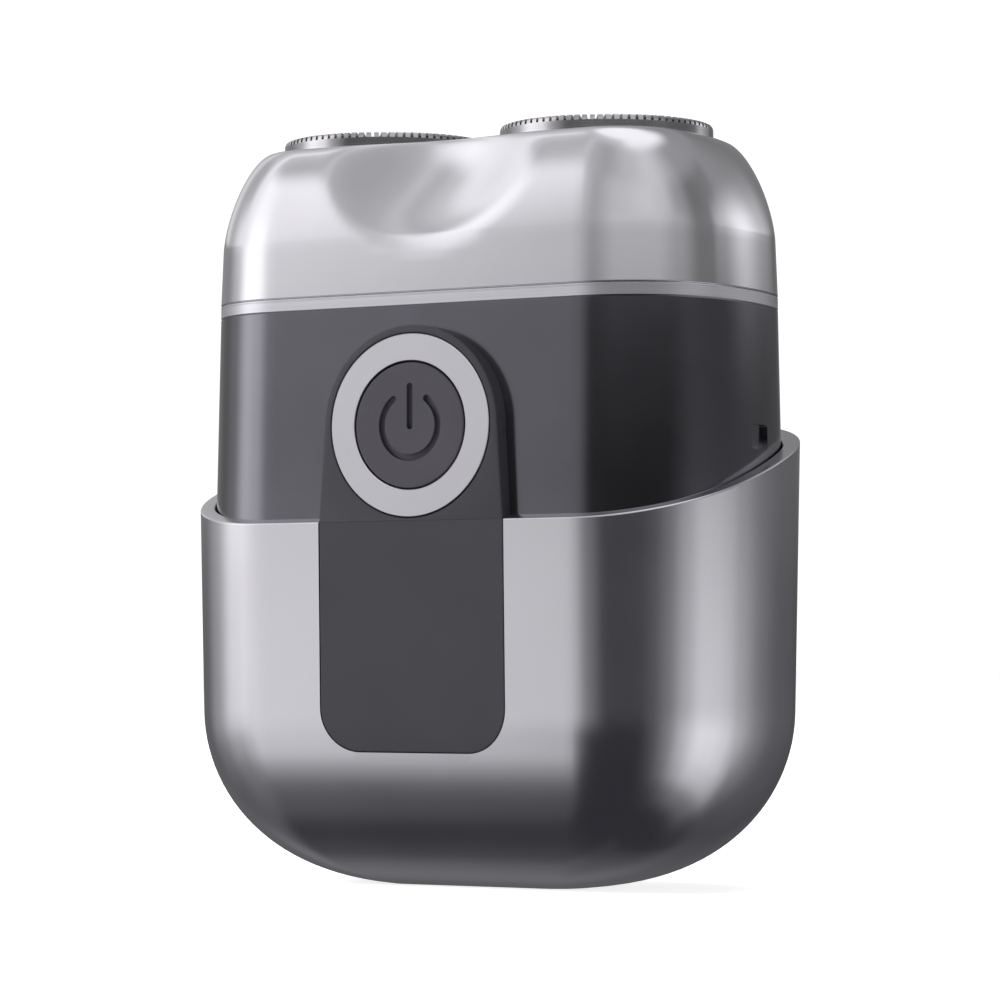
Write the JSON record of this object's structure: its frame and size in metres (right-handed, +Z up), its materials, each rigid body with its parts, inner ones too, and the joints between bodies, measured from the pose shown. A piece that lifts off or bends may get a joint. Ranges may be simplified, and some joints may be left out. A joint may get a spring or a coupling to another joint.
{
  "type": "rotary shaver",
  "caption": "Compact pocket rotary shaver with twin floating cutter heads, a lift-off head cover, a push button and a rounded outer shell.",
  "frame": {"origin": "centre of the flat base", "axes": "+Z up towards the shaving heads, -Y the front with the button, +X to the right of a person who looks at the front"},
  "size_m": [0.0728, 0.0397, 0.0887],
  "materials": {
    "satin_silver": "satin silver",
    "cover_silver": "semi-gloss silver",
    "dark_body": "soft-touch dark grey",
    "dark_panel": "soft-touch dark grey",
    "pale_silver": "fine matt silver",
    "button_rubber": "matt dark grey silicone",
    "seal_rubber": "black silicone",
    "brushed_band": "brushed along its length",
    "deck_plastic": "fine moulded grain",
    "knob_plastic": "moulded",
    "frame_plastic": "moulded",
    "magnet": "nickel plated",
    "motor_steel": "rolled and plated",
    "copper": "enamelled winding",
    "pin_steel": "ground",
    "brass": "machined",
    "cell_sleeve": "shrink sleeve",
    "board": "solder mask",
    "wire": "insulated",
    "gear_plastic": "white acetal",
    "spindle_plastic": "black acetal",
    "cap_steel": "polished with turned grain"
  },
  "bodies": {
    "housing": {"lower_shell": "satin_silver", "body_shell": "dark_body", "front_panel": "dark_panel", "bezel_ring": "pale_silver", "button_seal": "seal_rubber", "trim_band": "brushed_band", "deck_plate": "deck_plastic", "deck_gasket": "seal_rubber", "deck_magnets": "magnet", "chassis": "frame_plastic", "motor_can": "motor_steel", "motor_end_cap": "knob_plastic", "battery": "cell_sleeve", "circuit_board": "board", "tact_switch": "knob_plastic", "charging_board": "board", "usb_port": "motor_steel", "battery_leads": "wire", "motor_leads": "wire", "deck_screws": "pin_steel", "motor_screws": "pin_steel", "jacket_screws": "pin_steel", "gear_axle_left": "pin_steel", "spindle_seal_left": "seal_rubber", "gear_axle_right": "pin_steel", "spindle_seal_right": "seal_rubber"},
    "head": {"head_cover": "cover_silver", "retainer_frame": "deck_plastic", "head_magnets": "magnet"},
    "knob": {"retainer_knob": "knob_plastic"},
    "rotor": {"motor_rotor": "copper", "motor_shaft": "pin_steel", "motor_pinion": "brass"},
    "button": {"power_button": "button_rubber"},
    "plunger": {"switch_plunger": "gear_plastic"},
    "gear_left": {"drive_gear_left": "gear_plastic", "spindle_spring_left": "pin_steel"},
    "spindle_left": {"spindle_left": "spindle_plastic"},
    "cap_left": {"cap_left": "cap_steel"},
    "cutter_left": {"cutter_left": "cap_steel", "cutter_hub_left": "gear_plastic"},
    "gear_right": {"drive_gear_right": "gear_plastic", "spindle_spring_right": "pin_steel"},
    "spindle_right": {"spindle_right": "spindle_plastic"},
    "cap_right": {"cap_right": "cap_steel"},
    "cutter_right": {"cutter_right": "cap_steel", "cutter_hub_right": "gear_plastic"}
  },
  "joints": [
    {"name": "motor_spin", "type": "hinge", "parent": "housing", "child": "rotor", "pos_m": [0, 0, 0.045], "axis": [0, 0, 1], "continuous": true},
    {"name": "head_lift", "type": "slide", "parent": "housing", "child": "head", "axis": [0, 0, 1], "range_m": [0, 0.02]},
    {"name": "retainer_knob_turn", "type": "hinge", "parent": "head", "child": "knob", "pos_m": [0, 0, 0.08], "axis": [0, 0, 1], "range_deg": [0, 90]},
    {"name": "button_press", "type": "slide", "parent": "housing", "child": "button", "axis": [0, 1, 0], "range_m": [0, 0.0003], "stiffness_N_per_m": 4000, "springref_m": -0.0002},
    {"name": "switch_press", "type": "slide", "parent": "housing", "child": "plunger", "axis": [0, 1, 0], "range_m": [0, 0.0004]},
    {"name": "gear_left_spin", "type": "hinge", "parent": "housing", "child": "gear_left", "pos_m": [-0.015, 0, 0.06], "axis": [0, 0, 1], "continuous": true},
    {"name": "cap_left_float", "type": "slide", "parent": "head", "child": "cap_left", "axis": [0, 0, -1], "range_m": [0, 0.0008], "stiffness_N_per_m": 400, "springref_m": -0.0015},
    {"name": "cutter_left_spin", "type": "hinge", "parent": "cap_left", "child": "cutter_left", "pos_m": [-0.015, 0, 0.085], "axis": [0, 0, 1], "continuous": true},
    {"name": "spindle_left_float", "type": "slide", "parent": "gear_left", "child": "spindle_left", "axis": [0, 0, -1], "range_m": [0, 0.0008], "deforming": ["spindle_spring_left"]},
    {"name": "gear_right_spin", "type": "hinge", "parent": "housing", "child": "gear_right", "pos_m": [0.015, 0, 0.06], "axis": [0, 0, 1], "continuous": true},
    {"name": "cap_right_float", "type": "slide", "parent": "head", "child": "cap_right", "axis": [0, 0, -1], "range_m": [0, 0.0008], "stiffness_N_per_m": 400, "springref_m": -0.0015},
    {"name": "cutter_right_spin", "type": "hinge", "parent": "cap_right", "child": "cutter_right", "pos_m": [0.015, 0, 0.085], "axis": [0, 0, 1], "continuous": true},
    {"name": "spindle_right_float", "type": "slide", "parent": "gear_right", "child": "spindle_right", "axis": [0, 0, -1], "range_m": [0, 0.0008], "deforming": ["spindle_spring_right"]}
  ],
  "couplings": [
    {"joint": "switch_press", "follows": "button_press", "ratio": 1},
    {"joint": "gear_left_spin", "follows": "motor_spin", "ratio": -0.25},
    {"joint": "cutter_left_spin", "follows": "motor_spin", "ratio": -0.25},
    {"joint": "spindle_left_float", "follows": "cap_left_float", "ratio": 1},
    {"joint": "gear_right_spin", "follows": "motor_spin", "ratio": -0.25},
    {"joint": "cutter_right_spin", "follows": "motor_spin", "ratio": -0.25},
    {"joint": "spindle_right_float", "follows": "cap_right_float", "ratio": 1}
  ]
}
